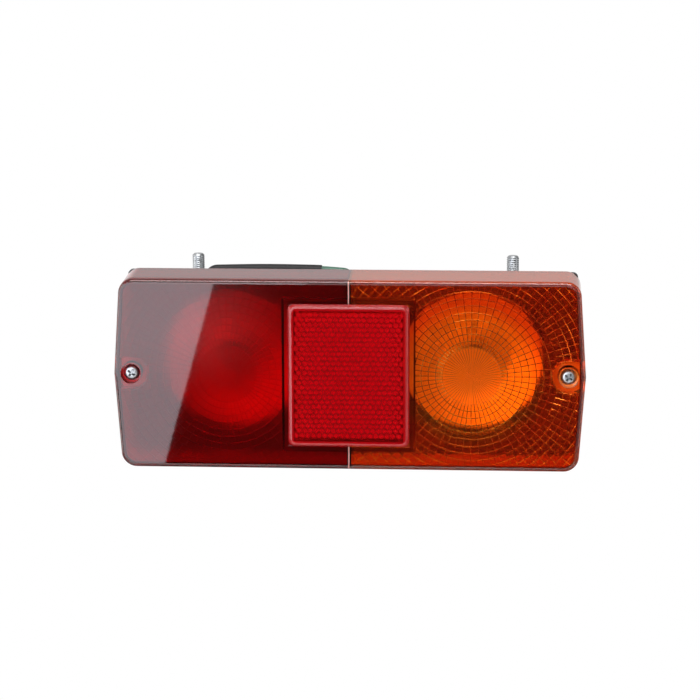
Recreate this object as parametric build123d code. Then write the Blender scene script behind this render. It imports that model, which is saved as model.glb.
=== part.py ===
from build123d import *
import math
import os

# Rear lamp cluster: a two-colour lens on a black moulded base that hangs from two studs.
# Millimetres. X runs to the right as seen from the front, Y to the back and Z up.
# Pieces are drawn from the middle of the lens's front face and moved at the end, so that
# the origin lies midway between the studs, on the seat that meets the bracket.

# Lens outline and section
lens_width = 220.0
lens_height = 90.0
end_point = 3.1
corner_radius = 7.2
point_radius = 8.0
lens_depth = 26.8
front_wall = 2.5
side_wall = 2.2
edge_radius = 2.0
draft_angle = 1.0
seam_wall = 1.8

# Ring optics on the inside of each lens
optic_inset = 53.0
ring_pitch = 3.35
ring_height = 0.7
star_rings = 4
star_flutes = 60
spoke_rings = 12
spoke_width = 0.6
optic_root = 0.1
plain_border = 2.6

# Reflex reflector tile and its pocket in the lens
tile_width = 56.6
tile_height = 67.6
tile_corner = 1.5
tile_seat = 1.3
tile_proud = 1.8
tile_bevel = 3.0
tile_skin = 1.6
tile_fit = 0.15
pocket_rim = 3.0

# Lens screws
screw_inset = 8.0
screw_diameter = 3.9
screw_length = 20.0
screw_point = 2.5
screw_head = 7.6
screw_head_height = 2.4
screw_fit = 0.1
counterbore = 9.5
counterbore_depth = 4.2
boss_diameter = 15.0
boss_depth = 9.0
pillar_diameter = 10.0

# Base, gasket and the box behind the flange
gasket_thickness = 1.2
flange_thickness = 2.5
flange_corner = 3.0
flange_step = 1.0
upstand_height = 4.0
upstand_wall = 1.8
upstand_fit = 0.3
flange_side = 16.0
box_step = 3.0
well_depth = 2.8
well_wall = 2.0
well_fit = 0.8
well_edge = 1.5
box_corner = 12.0
box_edge = 3.0
box_wall = 2.5
divider_wall = 2.5

# Studs: hexagon-headed bolts whose heads and collars sit in bosses under the top wall
stud_inset = 34.0
stud_diameter = 6.0
stud_collar = 7.0
stud_length = 13.0
stud_fit = 0.1
stud_tip = 0.9
pad_diameter = 14.0
pad_height = 3.5
stud_boss_depth = 11.0
hex_flats = 10.0
hex_height = 4.0

# Reflector bowls
bowl_rim = 66.0
bowl_lip = 0.8
bowl_flat = 36.0
bowl_draft = 1.0
bowl_depth = 9.9
bowl_sag = 4.5
bowl_wall = 0.8
bowl_fit = 0.2

# Bulb holders
turret_diameter = 34.0
turret_bore = 24.0
turret_step = 19.5
ledge_bore = 19.0
ledge_height = 4.5
sleeve_bore = 15.4
sleeve_wall = 0.8
sleeve_front = 9.0
sleeve_rear = 14.0
holder_flange = 32.0
holder_sheet = 0.8
slot_width = 2.4
slot_length = 6.4
slot_turn = 20.0
tag_width = 5.0
tag_height = 20.5
tag_length = 8.0
rivet_circle = 28.6
rivet_shank = 3.0
rivet_head = 5.0
rivet_head_height = 1.0
rivet_length = 8.0
rivet_fit = 0.1

# Bulbs
cap_diameter = 15.0
cap_wall = 0.5
cap_length = 16.0
cap_base = 2.0
cap_below_pin = 8.0
pin_diameter = 2.0
pin_reach = 0.9
contact_diameter = 3.4
contact_height = 1.0
contact_spread = 6.4
glass_diameter = 25.0
glass_neck = 13.6
glass_wall = 0.7
glass_length = 36.0
glass_sink = 8.0
glass_turn = 120.0
wire_diameter = 0.8
filament_diameter = 1.2
filament_width = 6.0
filament_height = 21.0
filament_step = 5.0

# Contact plates and spring leaves
plate_thickness = 3.0
plate_fit = 0.2
leaf_thickness = 0.5
leaf_width = 3.4
leaf_rise = 10.8
leaf_root = 7.5
leaf_heel = 1.0
leaf_knee = 4.0
leaf_pad = 3.6
leaf_tail = 6.0
leaf_bend = 1.2
leaf_fit = 0.15

# Link lead along the top of the box, and the rubber grommets
core_diameter = 3.4
sleeving_diameter = 4.4
sleeving_fit = 0.1
sleeving_end = -17.0
lead_gap = 1.5
lead_offset = 3.5
lead_right = -2.6
lead_rise = 6.4
lead_crown = 0.75
lead_bend = 4.2
sharp_turn = 60.0
bend_share = 0.45
lead_shoulder = 14.0
tail_run = 7.0
grommet_hole = 8.0
grommet_flange = 11.0
grommet_lip = 1.0
grommet_fit = 0.1
entry_hole = 12.0
entry_flange = 16.0
entry_bore = 7.0
entry_z = -12.0

# Places worked out from the sizes above
optic_x = lens_width / 2 - optic_inset
screw_x = lens_width / 2 - screw_inset
stud_x = lens_width / 2 - stud_inset
entry_x = optic_x / 2
rim_growth = lens_depth * math.tan(math.radians(draft_angle))
flange_front = lens_depth + gasket_thickness
flange_rear = flange_front + flange_thickness
upstand_front = flange_front - upstand_height
box_width = lens_width - 2 * flange_side
box_height = bowl_rim - box_step
box_top = box_height / 2
box_inner_top = box_top - box_wall
seat_height = box_top + pad_height
stud_boss_foot = seat_height - stud_boss_depth
hex_seat = stud_boss_foot + hex_height
turret_front = flange_rear + turret_step
holder_front = turret_front - holder_sheet
bowl_seat = holder_front - bowl_wall
bowl_front = bowl_seat - bowl_depth
well_floor = bowl_front + well_depth
well_bore = bowl_rim + 2 * (bowl_lip + well_fit)
star_radius = star_rings * ring_pitch
spoke_end = spoke_rings * ring_pitch
sleeve_diameter = sleeve_bore + 2 * sleeve_wall
sleeve_mouth = turret_front - sleeve_front
pin_depth = sleeve_mouth + slot_length - slot_width / 2
cap_rear = pin_depth + cap_below_pin
cap_front = cap_rear - cap_length
cap_floor = cap_rear - cap_base
bulb_contact = cap_rear + contact_height
glass_tip = cap_front + glass_sink - glass_length
plate_front = bulb_contact + leaf_rise
plate_rear = plate_front + plate_thickness
box_inner_rear = plate_rear + ledge_height
box_depth = box_inner_rear + box_wall
tag_end = turret_front + tag_length
lead_depth = box_inner_rear - lead_gap - grommet_flange / 2
lead_left = lead_offset - stud_x
lead_height = box_top + lead_rise
stud_depth = lead_depth - (grommet_flange + pad_diameter) / 2
beyond = 4 * lens_width


def prism(profile, front, rear, taper=0.0):
    """A profile of the front view, made solid from the depth front to the depth rear."""
    return extrude(Plane.XZ.offset(-rear) * profile, amount=rear - front, taper=taper)


def post(profile, bottom, top):
    """A profile of the top view, made solid from the height bottom to the height top."""
    return extrude(Plane.XY.offset(bottom) * profile, amount=top - bottom)


def turned(profile):
    """A profile of radius against depth, turned about the Y axis."""
    return revolve(profile, axis=Axis.Y)


def ring(inner_diameter, outer_diameter, start, end):
    """A ring's section: radius against depth, or against height."""
    width = (outer_diameter - inner_diameter) / 2
    return Pos((inner_diameter + width) / 2, (start + end) / 2) * Rectangle(width, end - start)


def mirrored(piece):
    """The same piece on the other side of the middle."""
    return mirror(piece, about=Plane.YZ)


def lens_outline(corner):
    """The front view of the lens: straight long sides, and ends that come to a low point."""
    half_width = lens_width / 2
    half_height = lens_height / 2
    side_x = half_width - end_point
    loop = Polyline(
        (-half_width, 0),
        (-side_x, half_height),
        (side_x, half_height),
        (half_width, 0),
        (side_x, -half_height),
        (-side_x, -half_height),
        close=True,
    )
    face = make_face(loop)
    end_points = face.vertices().sort_by(lambda v: abs(v.Y))[:2]
    face = fillet(end_points, point_radius)
    corners = face.vertices().sort_by(lambda v: -abs(v.Y))[:4]
    return fillet(corners, corner)


def rim_outline():
    """The outside of the lens at its rear rim, where the draft has made it widest."""
    return offset(lens_outline(corner_radius), rim_growth)


def screw_boss_outline(inside):
    """The boss round the right-hand lens screw, run out to the end wall."""
    reach = lens_width / 2 - screw_x
    boss = Pos(screw_x, 0) * Circle(boss_diameter / 2)
    boss += Pos(screw_x + reach / 2, 0) * Rectangle(reach, boss_diameter)
    return boss & offset(inside, side_wall / 2)


def ring_optics(inside):
    """The optics on the inside of the right-hand lens: rings of low prisms round a fluted star."""
    reach = math.hypot(optic_x, lens_height / 2)
    count = math.ceil(reach / ring_pitch)
    root = front_wall - ring_height
    crests = [(star_radius, root), (star_radius, front_wall)]
    for number in range(star_rings, count):
        crests.append(((number + 0.5) * ring_pitch, front_wall + ring_height))
        crests.append(((number + 1.0) * ring_pitch, front_wall))
    section = make_face(Polyline(crests + [(count * ring_pitch, root)], close=True))
    optics = turned(section) - spoke_grooves()
    optics = Pos(optic_x, 0, 0) * (optics + fluted_star(root))
    field = offset(inside, side_wall - plain_border)
    field &= Pos(seam_wall + lens_width / 2, 0) * Rectangle(lens_width, lens_height)
    field -= Rectangle(tile_width + 2 * pocket_rim, tile_height + 2 * pocket_rim)
    field -= screw_boss_outline(inside)
    return optics & prism(field, root, front_wall + ring_height)


def spoke_grooves():
    """Grooves that part the rings over the bowl into cells, one for each flute of the star."""
    floor = front_wall + optic_root
    crest = front_wall + ring_height
    half_width = spoke_width / 2
    section = make_face(Polyline((-half_width, crest), (half_width, crest), (0, floor), close=True))
    groove = extrude(Plane.XY.offset(star_radius) * section, amount=spoke_end - star_radius)
    turn = 360 / star_flutes
    return [Rotation(0, number * turn, 0) * groove for number in range(star_flutes)]


def fluted_star(root):
    """A disc whose rear is folded into flutes that run out from the bulb's axis."""
    low = front_wall + optic_root
    rim = []
    for number in range(2 * star_flutes):
        angle = math.pi * number / star_flutes
        depth = low if number % 2 else front_wall + ring_height
        rim.append(Vector(star_radius * math.cos(angle), depth, star_radius * math.sin(angle)))
    foot = [Vector(point.X, root, point.Z) for point in rim]
    middle = Vector(0, low, 0)
    faces = [Face(Wire.make_polygon(foot))]
    for number in range(2 * star_flutes):
        after = (number + 1) % (2 * star_flutes)
        faces.append(Face(Wire.make_polygon([rim[number], rim[after], middle])))
        faces.append(Face(Wire.make_polygon([foot[number], foot[after], rim[after], rim[number]])))
    return Solid(Shell(faces))


def make_lens():
    """The right-hand half of the lens, with its end wall, seam wall, boss and optics."""
    rim = rim_outline()
    inner_rim = offset(rim, -side_wall)
    inside = offset(lens_outline(corner_radius), -side_wall)
    shell = prism(rim, 0, lens_depth, draft_angle)
    front_edges = shell.faces().sort_by(Axis.Y)[0].edges()
    shell = fillet(front_edges, edge_radius)
    half = Pos(beyond / 2, 0, 0) * Box(beyond, beyond, beyond)
    room = Pos(seam_wall, 0, 0) * half
    lens = shell & half
    lens -= prism(inner_rim, front_wall, lens_depth, draft_angle) & room
    over_upstand = prism(Rectangle(2 * seam_wall, beyond), upstand_front, lens_depth)
    lens -= over_upstand & prism(inner_rim, upstand_front, lens_depth)
    lens += prism(screw_boss_outline(inside), front_wall / 2, boss_depth)
    pocket_plate = Rectangle(tile_width + 2 * pocket_rim, tile_height + 2 * pocket_rim)
    lens += prism(pocket_plate, front_wall / 2, front_wall + tile_seat) & half
    lens += ring_optics(inside)
    pocket = RectangleRounded(tile_width + 2 * tile_fit, tile_height + 2 * tile_fit, tile_corner)
    lens -= prism(pocket, 0, tile_seat)
    screw_place = Pos(screw_x, 0)
    lens -= prism(screw_place * Circle(counterbore / 2), 0, counterbore_depth)
    return lens - prism(screw_place * Circle(screw_diameter / 2 + screw_fit), 0, boss_depth)


def make_tile():
    """The reflex reflector: a tile with bevelled edges, hollow behind for its prisms."""
    outline = RectangleRounded(tile_width, tile_height, tile_corner)
    bevel_angle = math.degrees(math.atan2(tile_bevel, tile_proud))
    tile = prism(outline, 0, tile_seat) + prism(outline, -tile_proud, 0, bevel_angle)
    hollow = Rectangle(tile_width - 2 * tile_bevel, tile_height - 2 * tile_bevel)
    return tile - prism(hollow, tile_skin - tile_proud, tile_seat)


def make_lens_screw():
    """The right-hand lens screw: a pan head, a plain shank and a point."""
    tip = counterbore_depth + screw_length
    head = prism(Circle(screw_head / 2), counterbore_depth - screw_head_height, counterbore_depth)
    head = fillet(head.faces().sort_by(Axis.Y)[0].edges(), screw_head_height / 2)
    shank = prism(Circle(screw_diameter / 2), counterbore_depth, tip)
    shank = chamfer(shank.faces().sort_by(Axis.Y)[-1].edges(), screw_point, screw_diameter / 3)
    return Pos(screw_x, 0, 0) * (head + shank)


def make_gasket():
    """The rubber ring between the lens rim and the flange."""
    rim = rim_outline()
    return prism(offset(rim, -flange_step) - offset(rim, -side_wall), lens_depth, flange_front)


def make_base():
    """The moulded base: flange, box, divider, pillars, turrets and stud bosses in one piece."""
    upstand_outer = offset(rim_outline(), -side_wall - upstand_fit)
    upstand_inner = offset(upstand_outer, -upstand_wall)
    box_outline = RectangleRounded(box_width, box_height, box_corner)
    room_outline = offset(box_outline, -box_wall)
    box = prism(box_outline, flange_front, box_depth)
    box = fillet(box.faces().sort_by(Axis.Y)[-1].edges(), box_edge)
    base = prism(offset(lens_outline(flange_corner), rim_growth - flange_step), flange_front, flange_rear)
    base += box
    for side in (-1, 1):
        base = add_bowl_well(base, side * optic_x)
    base += prism(upstand_outer - upstand_inner, upstand_front, flange_front)
    base -= prism(room_outline, flange_front, box_inner_rear)
    base += base_divider(upstand_inner, room_outline)
    for side in (-1, 1):
        base += screw_pillar(side * screw_x)
        base += bulb_turret(side * optic_x)
        base = add_stud_boss(base, side * stud_x)
    for lead_x in (lead_left, lead_right):
        base -= post(Pos(lead_x, lead_depth) * Circle(grommet_hole / 2), box_inner_top, box_top)
    return base - prism(Pos(entry_x, entry_z) * Circle(entry_hole / 2), box_inner_rear, box_depth)


def add_bowl_well(base, x):
    """The base with a round well behind the flange, which gives the lip of a bowl its room."""
    rear = well_floor + box_wall
    well = prism(Pos(x, 0) * Circle(well_bore / 2 + well_wall), flange_front, rear)
    base += fillet(well.faces().sort_by(Axis.Y)[-1].edges(), well_edge)
    return base - prism(Pos(x, 0) * Circle(well_bore / 2), flange_front, well_floor)


def base_divider(upstand_inner, room_outline):
    """The wall that keeps the two colours apart, notched where the link lead comes down."""
    front = upstand_front + upstand_fit
    wall = Rectangle(divider_wall, beyond)
    divider = prism(wall & upstand_inner, front, flange_front)
    divider += prism(wall & room_outline, front, box_inner_rear)
    notch_front = lead_depth - grommet_flange
    notch = Rectangle(grommet_flange, box_inner_rear - notch_front)
    notch = Pos(0, (box_inner_rear + notch_front) / 2) * notch
    return divider - post(notch, tag_height - grommet_hole, box_top)


def screw_pillar(x):
    """A pillar that meets a lens boss and takes its screw."""
    place = Pos(x, 0)
    pillar = prism(place * Circle(pillar_diameter / 2), boss_depth, flange_front)
    hole = Circle(screw_diameter / 2 + screw_fit)
    return pillar - prism(place * hole, boss_depth, counterbore_depth + screw_length + screw_point)


def bulb_turret(x):
    """A ring standing on the rear wall: its front carries the holder, its ledge the contact plate."""
    turret = turned(ring(turret_bore, turret_diameter, turret_front, box_inner_rear))
    turret += turned(ring(ledge_bore, turret_bore, plate_rear, box_inner_rear))
    for side in (-1, 1):
        hole = Pos(0, side * rivet_circle / 2) * Circle(rivet_shank / 2 + rivet_fit)
        turret -= prism(hole, turret_front, turret_front + rivet_length)
    return Pos(x, 0, 0) * turret


def add_stud_boss(base, x):
    """The base with a seat pad, a boss and a hexagon pocket at one stud."""
    place = Pos(x, stud_depth)
    base += post(place * Circle(pad_diameter / 2), stud_boss_foot, seat_height)
    base -= post(place * Circle(stud_collar / 2 + stud_fit), stud_boss_foot, seat_height)
    pocket = RegularPolygon(hex_flats / 2 + stud_fit, 6, major_radius=False)
    return base - post(place * pocket, stud_boss_foot, hex_seat)


def make_stud():
    """The right-hand stud: a bolt with a hexagon head and a collar held in the base."""
    place = Pos(stud_x, stud_depth)
    head = post(place * RegularPolygon(hex_flats / 2, 6, major_radius=False), stud_boss_foot, hex_seat)
    collar = post(place * Circle(stud_collar / 2), hex_seat, seat_height)
    shank = post(place * Circle(stud_diameter / 2), seat_height, seat_height + stud_length)
    shank = chamfer(shank.faces().sort_by(Axis.Z)[-1].edges(), stud_tip)
    return head + collar + shank


def make_bowl():
    """A pressed reflector: flat where it is riveted, a step forward, then a shallow dish and a lip."""
    middle = bowl_seat + bowl_wall / 2
    flat_radius = bowl_flat / 2
    dish_radius = flat_radius + bowl_draft
    rim_radius = bowl_rim / 2
    dish_rear = bowl_front + bowl_sag
    curve = (rim_radius**2 - dish_radius**2) / bowl_sag
    handle_radius = (dish_radius + rim_radius) / 2
    handle_depth = dish_rear - 2 * dish_radius / curve * (handle_radius - dish_radius)
    hole_radius = sleeve_diameter / 2 + bowl_fit
    line = Line((hole_radius, middle), (flat_radius, middle))
    line += Line((flat_radius, middle), (dish_radius, dish_rear))
    line += Bezier((dish_radius, dish_rear), (handle_radius, handle_depth), (rim_radius, bowl_front))
    line += Line((rim_radius, bowl_front), (rim_radius + bowl_lip, bowl_front))
    bowl = turned(trace(line, bowl_wall))
    for side in (-1, 1):
        hole = Pos(0, side * rivet_circle / 2) * Circle(rivet_shank / 2 + rivet_fit)
        bowl -= prism(hole, bowl_front, turret_front)
    return Pos(optic_x, 0, 0) * bowl


def make_holder():
    """A bayonet holder: a flanged sleeve with two slots that turn, and an earth tag."""
    holder = turned(ring(sleeve_bore, sleeve_diameter, sleeve_mouth, turret_front + sleeve_rear))
    holder += turned(ring(sleeve_bore, holder_flange, holder_front, turret_front))
    slot = prism(Rectangle(beyond, slot_width), sleeve_mouth, sleeve_mouth + slot_length)
    inner_end = sleeve_mouth + slot_length
    leg = Pos(sleeve_bore / 2, inner_end - slot_width / 2) * Rectangle(4 * sleeve_wall, slot_width)
    leg = revolve(leg, axis=Axis.Y, revolution_arc=slot_turn)
    pin_room = prism(Rectangle(beyond, slot_width), inner_end - slot_width, inner_end)
    holder -= Rotation(0, slot_turn, 0) * slot + leg + Rotation(0, 180, 0) * leg + pin_room
    for side in (-1, 1):
        hole = Pos(0, side * rivet_circle / 2) * Circle(rivet_shank / 2 + rivet_fit)
        holder -= prism(hole, holder_front, turret_front)
    arm_height = (rivet_circle + rivet_shank) / 2
    arm = Pos(0, (tag_height + arm_height) / 2) * Rectangle(tag_width, tag_height - arm_height)
    holder += prism(arm, holder_front, turret_front)
    tab = Pos(0, tag_height - holder_sheet / 2) * Rectangle(tag_width, holder_sheet)
    return Pos(optic_x, 0, 0) * (holder + prism(tab, holder_front, tag_end))


def make_rivets():
    """The two rivets that hold the right-hand bowl and holder to their turret."""
    rivets = Part()
    for side in (-1, 1):
        place = Pos(optic_x, side * rivet_circle / 2)
        head = prism(place * Circle(rivet_head / 2), bowl_seat - rivet_head_height, bowl_seat)
        head = fillet(head.faces().sort_by(Axis.Y)[0].edges(), rivet_head_height / 2)
        rivets += head + prism(place * Circle(rivet_shank / 2), bowl_seat, turret_front + rivet_length)
    return rivets


def make_cap(contact_heights):
    """A bulb's brass cap, with its two pins and a solder contact at each height given."""
    cap = turned(ring(cap_diameter - 2 * cap_wall, cap_diameter, cap_front, cap_rear))
    cap += turned(ring(0, cap_diameter, cap_floor, cap_rear))
    pin_span = cap_diameter + 2 * pin_reach
    pin = Pos(0, pin_depth, 0) * Rotation(0, 90, 0) * Cylinder(pin_diameter / 2, pin_span)
    cap += pin - turned(ring(0, cap_diameter - cap_wall, cap_front, cap_rear))
    for height in contact_heights:
        cap += prism(Pos(0, height) * Circle(contact_diameter / 2), cap_rear, bulb_contact)
    return Pos(optic_x, 0, 0) * cap


def make_glass():
    """A bulb's glass: a ball that narrows to a neck inside the cap."""
    radius = glass_diameter / 2
    centre = glass_tip + radius
    turn = math.radians(glass_turn)
    half_turn = turn / 2
    shoulder = (radius * math.sin(turn), centre - radius * math.cos(turn))
    neck_radius = glass_neck / 2 - glass_wall / 2
    neck_top = shoulder[1] - (shoulder[0] - neck_radius) * math.tan(turn)
    side = (radius * math.sin(half_turn), centre - radius * math.cos(half_turn))
    line = ThreePointArc((0, glass_tip), side, shoulder)
    line += Line(shoulder, (neck_radius, neck_top))
    line += Line((neck_radius, neck_top), (neck_radius, cap_front + glass_sink))
    return Pos(optic_x, 0, 0) * turned(trace(line, glass_wall))


def make_filament(z, depth):
    """A filament across two wires that stand on the floor of the cap."""
    mount = Part()
    for side in (-1, 1):
        wire = Pos(side * filament_width / 2, z) * Circle(wire_diameter / 2)
        mount += prism(wire, depth, cap_floor)
    coil = Rotation(0, 90, 0) * Cylinder(filament_diameter / 2, filament_width)
    return Pos(optic_x, 0, 0) * (mount + Pos(0, depth, z) * coil)


def leaf_slot(z):
    """The slot in a contact plate that a leaf's tail goes through."""
    slot = Rectangle(leaf_thickness + leaf_bend + 2 * leaf_fit, leaf_width + 2 * leaf_fit)
    return prism(Pos(leaf_root - leaf_bend / 2, z) * slot, plate_front, plate_rear)


def make_plate(contact_heights):
    """An insulating plate that sits on the turret's ledge and carries the contact leaves."""
    plate = turned(ring(0, turret_bore - 2 * plate_fit, plate_front, plate_rear))
    for height in contact_heights:
        plate -= leaf_slot(height)
    return Pos(optic_x, 0, 0) * plate


def make_leaf(z):
    """A spring leaf from its tail behind the plate to the pad that presses on the bulb."""
    base = plate_front - leaf_thickness / 2
    top = bulb_contact + leaf_thickness / 2
    route = FilletPolyline(
        (leaf_root, plate_rear + leaf_tail / 2),
        (leaf_root, base),
        (leaf_heel, base),
        (-leaf_knee, (base + top) / 2),
        (-leaf_pad / 2, top),
        (leaf_pad / 2, top),
        radius=leaf_bend,
    )
    strip = extrude(trace(route, leaf_thickness), amount=leaf_width / 2, both=True)
    return Pos(optic_x, 0, z) * strip


def lead_route():
    """The link lead from one earth tag, up through the top wall, along it and down to the other."""
    tag_z = tag_height - holder_sheet / 2
    inside = tag_height
    points = [
        Vector(-optic_x, tag_end, tag_z),
        Vector(-optic_x, tag_end + tail_run, tag_z),
        Vector(lead_left, lead_depth, inside),
        Vector(lead_left, lead_depth, lead_height),
        Vector((lead_left + sleeving_end) / 2, lead_depth, lead_height + lead_crown),
        Vector(lead_right - lead_shoulder, lead_depth, lead_height + lead_crown / 2),
        Vector(lead_right, lead_depth, lead_height - lead_crown),
        Vector(lead_right, lead_depth, inside),
        Vector(lead_right + lead_shoulder, lead_depth - core_diameter, inside - core_diameter / 2),
        Vector(optic_x, tag_end + tail_run, tag_z),
        Vector(optic_x, tag_end, tag_z),
    ]
    radii = []
    for before, here, after in zip(points, points[1:], points[2:]):
        shorter = min((here - before).length, (after - here).length)
        turn = (here - before).get_angle(after - here)
        radius = bend_share * shorter / math.tan(math.radians(turn / 2))
        radii.append(min(radius, lead_bend) if turn > sharp_turn else radius)
    return FilletPolyline(*points, radius=radii)


def lead_tube(route, diameter):
    """A round rod of this diameter along the whole link lead."""
    start = Plane(origin=route @ 0, z_dir=route % 0)
    return sweep(start * Circle(diameter / 2), path=route)


def make_sleeving(route):
    """The black sleeving over the lead, from below the left-hand grommet to short of the middle."""
    sleeving = lead_tube(route, sleeving_diameter) - lead_tube(route, core_diameter + 2 * sleeving_fit)
    left_end = lead_left - sleeving_diameter
    bottom = box_inner_top - grommet_lip - sleeving_diameter / 4
    width = sleeving_end - left_end
    keep = Box(width, sleeving_diameter + box_wall, lead_height, align=(Align.MIN, Align.CENTER, Align.MIN))
    return sleeving & Pos(left_end, lead_depth, bottom) * keep


def grommet_section(bore, hole, flange, wall_start, wall_end):
    """A grommet's section: a waist in the hole, and a flange on each side of the wall."""
    section = ring(bore, hole - 2 * grommet_fit, wall_start, wall_end)
    section += ring(bore, flange, wall_start - grommet_lip, wall_start)
    return section + ring(bore, flange, wall_end, wall_end + grommet_lip)


def make_lead_grommet(x, lead_diameter):
    """A grommet in the top wall, round the lead."""
    bore = lead_diameter + 2 * grommet_fit
    section = grommet_section(bore, grommet_hole, grommet_flange, box_inner_top, box_top)
    return Pos(x, lead_depth, 0) * revolve(Plane.XZ * section, axis=Axis.Z)


def make_entry_grommet():
    """The open grommet in the rear wall, where a vehicle's own wires come in."""
    section = grommet_section(entry_bore, entry_hole, entry_flange, box_inner_rear, box_depth)
    return Pos(entry_x, 0, entry_z) * turned(section)


def write_node(name, piece):
    """Move a piece to the frame between the studs and write its file."""
    piece = Pos(0, -stud_depth, -seat_height) * piece
    export_step(piece, os.path.join("parts", name + ".step"))


def main():
    os.makedirs("parts", exist_ok=True)
    half_spread = contact_spread / 2
    filament_depth = glass_tip + filament_height
    lens = make_lens()
    stud = make_stud()
    lens_screw = make_lens_screw()
    bowl = make_bowl()
    holder = make_holder()
    glass = make_glass()
    rivets = make_rivets()
    twin_leaves = make_leaf(-half_spread) + make_leaf(half_spread)
    twin_filaments = make_filament(-half_spread, filament_depth)
    twin_filaments += make_filament(half_spread, filament_depth - filament_step)
    route = lead_route()
    write_node("base_housing", make_base())
    write_node("lens_gasket", make_gasket())
    write_node("amber_lens", lens)
    write_node("red_lens", mirrored(lens))
    write_node("reflex_reflector", make_tile())
    write_node("lens_screws", lens_screw + mirrored(lens_screw))
    write_node("mounting_studs", stud + mirrored(stud))
    write_node("indicator_bowl", bowl)
    write_node("stop_tail_bowl", mirrored(bowl))
    write_node("indicator_holder", holder)
    write_node("stop_tail_holder", mirrored(holder))
    write_node("holder_rivets", rivets + mirrored(rivets))
    write_node("indicator_bulb_cap", make_cap([0.0]))
    write_node("stop_tail_bulb_cap", mirrored(make_cap([-half_spread, half_spread])))
    write_node("indicator_bulb_glass", glass)
    write_node("stop_tail_bulb_glass", mirrored(glass))
    write_node("indicator_filament", make_filament(0.0, filament_depth))
    write_node("stop_tail_filaments", mirrored(twin_filaments))
    write_node("indicator_contact_plate", make_plate([0.0]))
    write_node("stop_tail_contact_plate", mirrored(make_plate([-half_spread, half_spread])))
    write_node("indicator_contact_leaf", make_leaf(0.0))
    write_node("stop_tail_contact_leaves", mirrored(twin_leaves))
    write_node("link_lead_core", lead_tube(route, core_diameter))
    write_node("link_lead_sleeving", make_sleeving(route))
    write_node("left_lead_grommet", make_lead_grommet(lead_left, sleeving_diameter))
    write_node("middle_lead_grommet", make_lead_grommet(lead_right, core_diameter))
    write_node("entry_grommet", make_entry_grommet())


if __name__ == "__main__":
    main()
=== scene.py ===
import math
import bmesh
import bpy
from mathutils import Matrix, Vector


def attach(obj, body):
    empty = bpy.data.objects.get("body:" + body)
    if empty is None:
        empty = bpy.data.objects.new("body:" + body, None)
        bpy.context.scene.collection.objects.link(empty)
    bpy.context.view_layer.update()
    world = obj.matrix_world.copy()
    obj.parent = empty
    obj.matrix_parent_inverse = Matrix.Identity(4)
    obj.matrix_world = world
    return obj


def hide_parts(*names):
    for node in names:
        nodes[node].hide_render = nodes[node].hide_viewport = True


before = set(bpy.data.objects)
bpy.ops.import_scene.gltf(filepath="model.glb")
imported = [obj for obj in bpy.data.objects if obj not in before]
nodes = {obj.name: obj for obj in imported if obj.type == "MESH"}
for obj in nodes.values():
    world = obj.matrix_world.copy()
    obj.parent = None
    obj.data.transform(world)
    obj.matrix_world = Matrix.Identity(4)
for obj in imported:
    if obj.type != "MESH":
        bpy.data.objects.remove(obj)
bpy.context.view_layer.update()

# Sizes in metres, as in the part's own drawing. The frame's origin lies between the studs on
# their seat, so the lens's front face is at FRONT and its mid-height at MIDDLE. Two corners within
# NEAR count as one place when edges are picked, a face looks along an axis where its normal's share
# is over FACING, and a cutter goes PAST the face that it cuts.
MM = 0.001
NEAR = 0.1 * MM
FACING = 0.9
PAST = 1 * MM
MERGE = 0.002 * MM
FRONT = -54 * MM
MIDDLE = -35 * MM

# Lens shell
LENS_HALF_WIDTH = 109.97 * MM
LENS_HALF_HEIGHT = 45 * MM
LENS_DEPTH = 26.8 * MM
END_POINT = 3.1 * MM
RIM_GROWTH = 0.467 * MM
LENS_CORNER = 6.7 * MM
LENS_EDGE = 2 * MM
SEAM_EDGE = 0.35 * MM
FRONT_WALL = 2.5 * MM
SIDE_WALL = 2.2 * MM
SEAM_WALL = 1 * MM
SEAM_RELIEF = 24 * MM
SEAM_RELIEF_HALF_HEIGHT = 42.8 * MM
BOSS_RADIUS = 7.5 * MM
BOSS_DEPTH = 9 * MM

# Optics on the inside of the lens
POLE_X = 57 * MM
OPTIC_LEVEL = FRONT + FRONT_WALL + 0.05 * MM
BORDER = 2.6 * MM
RING_PITCH = 3.35 * MM
STAR_RADIUS = 4 * RING_PITCH
STAR_CREST = 0.3 * MM
STAR_PLATE = 1.4 * MM
SECTORS = 60
SPOKED_ROWS = 8
SPOKE_END = STAR_RADIUS + SPOKED_ROWS * RING_PITCH
OUTER_SECTORS = 90
OUTER_ROWS = 10
PLATE_OVERLAP = 0.15 * MM
OPTIC_PLATE = 1.2 * MM
GROOVE = 0.2 * MM
CUSHION_EDGE = 0.5 * MM
CUSHION_RISE = 0.03 * MM

# Reflex tile and its pocket
TILE_HALF_WIDTH = 28.3 * MM
TILE_HALF_HEIGHT = 33.8 * MM
TILE_SEAT = 1.3 * MM
TILE_PROUD = 1.799 * MM
TILE_DRAFT = 1.1 * MM
TILE_CORNER = 3 * MM
TILE_EDGE = 0.7 * MM
TILE_FRAME = 3 * MM
TILE_GAP = 0.15 * MM
PRISM_FLATS = 2.65 * MM
PRISM_COVER = 0.85 * MM
POCKET_RIM = 3 * MM
POCKET_CHAMFER = 1.15 * MM

# Screws and studs
SCREW_X = 102 * MM
SCREW_SEAT = 4.2 * MM
COUNTERBORE_RADIUS = 4.75 * MM
SCREW_HOLE_RADIUS = 2.05 * MM
STUD_X = 76 * MM


# Selecting and shaping

def rest():
    """Leave edit mode and deselect everything."""
    if bpy.context.object and bpy.context.object.mode != "OBJECT":
        bpy.ops.object.mode_set(mode="OBJECT")
    bpy.ops.object.select_all(action="DESELECT")


def take(piece):
    """Select one piece alone and make it active."""
    rest()
    piece.select_set(True)
    bpy.context.view_layer.objects.active = piece


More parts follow.
